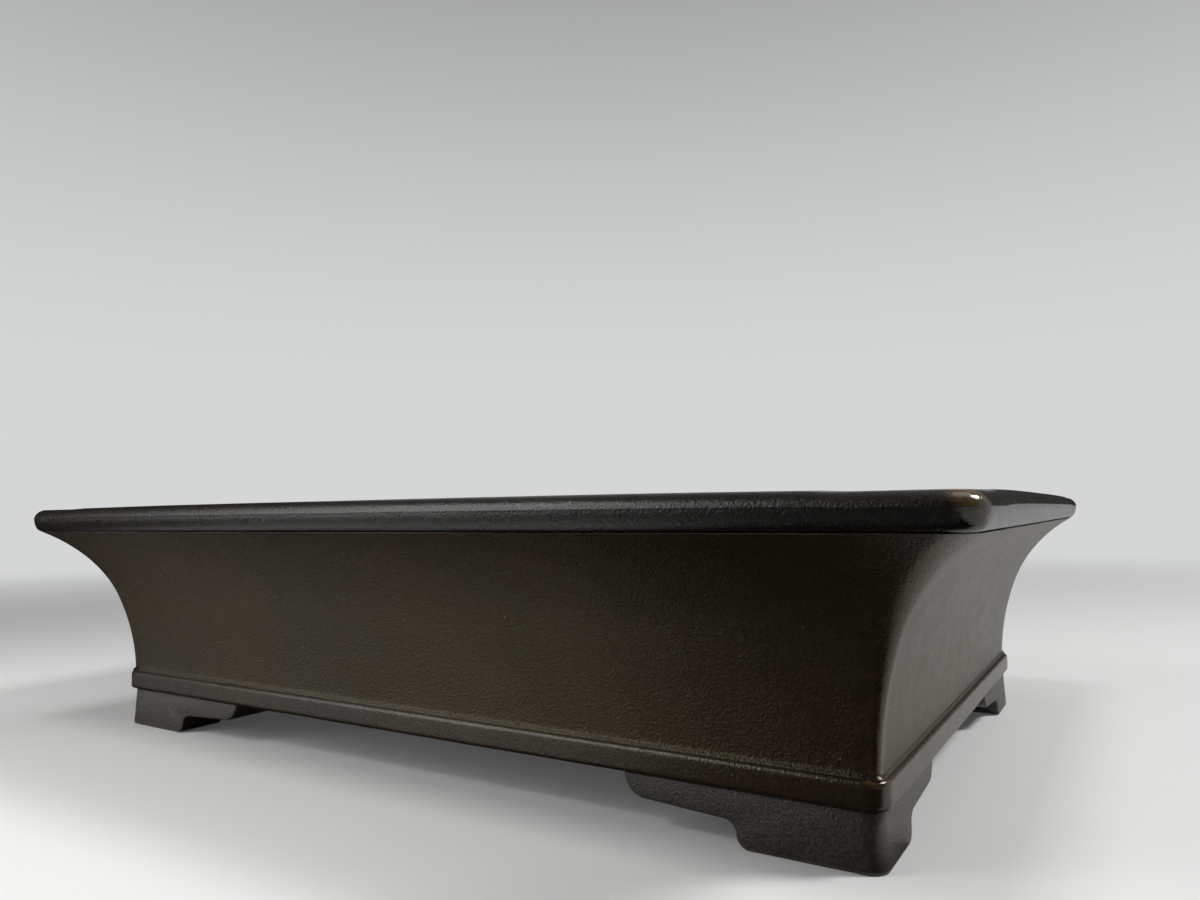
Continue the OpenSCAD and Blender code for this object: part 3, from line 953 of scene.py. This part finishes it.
class BONSAI_OT_stage(Operator):
    """Set up the floor, the lamps, the background and the camera"""

    bl_idname = "bonsai.stage"
    bl_label = "Stage"

    def execute(self, context):
        scene, stage = context.scene, context.scene.pot_stage
        bpy.ops.object.select_all(action="DESELECT")
        bpy.ops.mesh.primitive_plane_add(size=FLOOR_SIZE)
        floor = context.active_object
        floor.name = floor.data.name = "studio_floor"
        cover = bpy.data.materials.new("studio_floor")
        cover.use_nodes = True
        r = Recipe(cover.node_tree)
        place = r.node("ShaderNodeTexCoord").output("Object")
        away = r.node("ShaderNodeVectorMath", {"operation": "LENGTH"}, {0: place}, out="Value")
        seen = seen_rays(r)
        near = r.node("ShaderNodeBsdfDiffuse", None, {
            "Color": r.mix(seen, paint(stage.bounce), paint(stage.floor))})
        far = r.node("ShaderNodeEmission", None, {"Color": paint(stage.backdrop), "Strength": 1.0})
        fade = seen * r.ease(away, FADE_FROM, FADE_TO, LEAST_FADE, 1.0)
        shader = r.node("ShaderNodeMixShader", None, {0: fade, 1: near, 2: far})
        r.node("ShaderNodeOutputMaterial", None, {"Surface": shader})
        floor.data.materials.append(cover)

        world = bpy.data.worlds.new("studio")
        scene.world = world
        world.use_nodes = True
        r = Recipe(world.node_tree)
        toward = r.node("ShaderNodeTexCoord").output("Generated")
        height = r.node("ShaderNodeSeparateXYZ", None, {"Vector": toward}).output("Z")
        shade = r.mix(r.ease(height, PLAIN_HEIGHT, 1.0), paint(stage.backdrop), paint(stage.backdrop_high))
        shown = r.node("ShaderNodeBackground", None, {"Color": shade, "Strength": 1.0})
        lit = r.node("ShaderNodeBackground", None, {"Color": WHITE, "Strength": stage.ambient})
        sky = r.node("ShaderNodeMixShader", None, {0: seen_rays(r), 1: lit, 2: shown})
        r.node("ShaderNodeOutputWorld", None, {"Surface": sky})

        lamps = {name: lamp(name + "_lamp", place, aim, size, getattr(stage, name))
                 for name, place, aim, size in LAMPS}
        lamps["near"].data.spread = NEAR_SPREAD
        lamps["near"].visible_glossy = False
        for settings in FLAGS:
            flag(*settings)

        data = bpy.data.cameras.new("photo_view")
        data.sensor_width = SENSOR_WIDTH
        data.lens = stage.lens
        data.clip_start = 0.01
        data.clip_end = 200.0
        camera = bpy.data.objects.new("photo_view", data)
        scene.collection.objects.link(camera)
        yaw, pitch, roll = stage.yaw, stage.pitch, stage.roll
        ahead = Vector((-math.sin(yaw) * math.cos(pitch), math.cos(yaw) * math.cos(pitch), math.sin(pitch)))
        level = Vector((math.cos(yaw), math.sin(yaw), 0.0))
        up = level.cross(ahead)
        side = level * math.cos(roll) + up * math.sin(roll)
        up = up * math.cos(roll) - level * math.sin(roll)
        turn = Matrix((side, up, -ahead)).transposed().to_4x4()
        camera.matrix_world = Matrix.Translation(stage.eye) @ turn
        scene.camera = camera
        scene.view_settings.view_transform = "Standard"
        return {"FINISHED"}


OPERATORS = (BONSAI_OT_walls, BONSAI_OT_rim, BONSAI_OT_band, BONSAI_OT_floor, BONSAI_OT_feet, BONSAI_OT_stage)


class BONSAI_PT_pot(Panel):
    """Lists the pot's members, its sizes and its finish"""

    bl_label = "Bonsai Pot"
    bl_idname = "BONSAI_PT_pot"
    bl_space_type = "VIEW_3D"
    bl_region_type = "UI"
    bl_category = "Bonsai Pot"

    def draw(self, context):
        for operator in OPERATORS:
            self.layout.operator(operator.bl_idname)
        for group in (context.scene.pot_form, context.scene.pot_finish, context.scene.pot_stage):
            box = self.layout.box()
            for name in group.__annotations__:
                box.prop(group, name)


GROUPS = {"pot_form": PotForm, "pot_finish": PotFinish, "pot_stage": PotStage}
CLASSES = (*GROUPS.values(), *OPERATORS, BONSAI_PT_pot)


def register():
    for cls in CLASSES:
        bpy.utils.register_class(cls)
    for name, group in GROUPS.items():
        setattr(bpy.types.Scene, name, PointerProperty(type=group))


def unregister():
    for name in GROUPS:
        delattr(bpy.types.Scene, name)
    for cls in reversed(CLASSES):
        bpy.utils.unregister_class(cls)


def main():
    register()
    bpy.ops.bonsai.walls()
    bpy.ops.bonsai.rim()
    bpy.ops.bonsai.band()
    bpy.ops.bonsai.floor_slab()
    bpy.ops.bonsai.feet()
    bpy.ops.bonsai.stage()


if __name__ == "__main__":
    main()
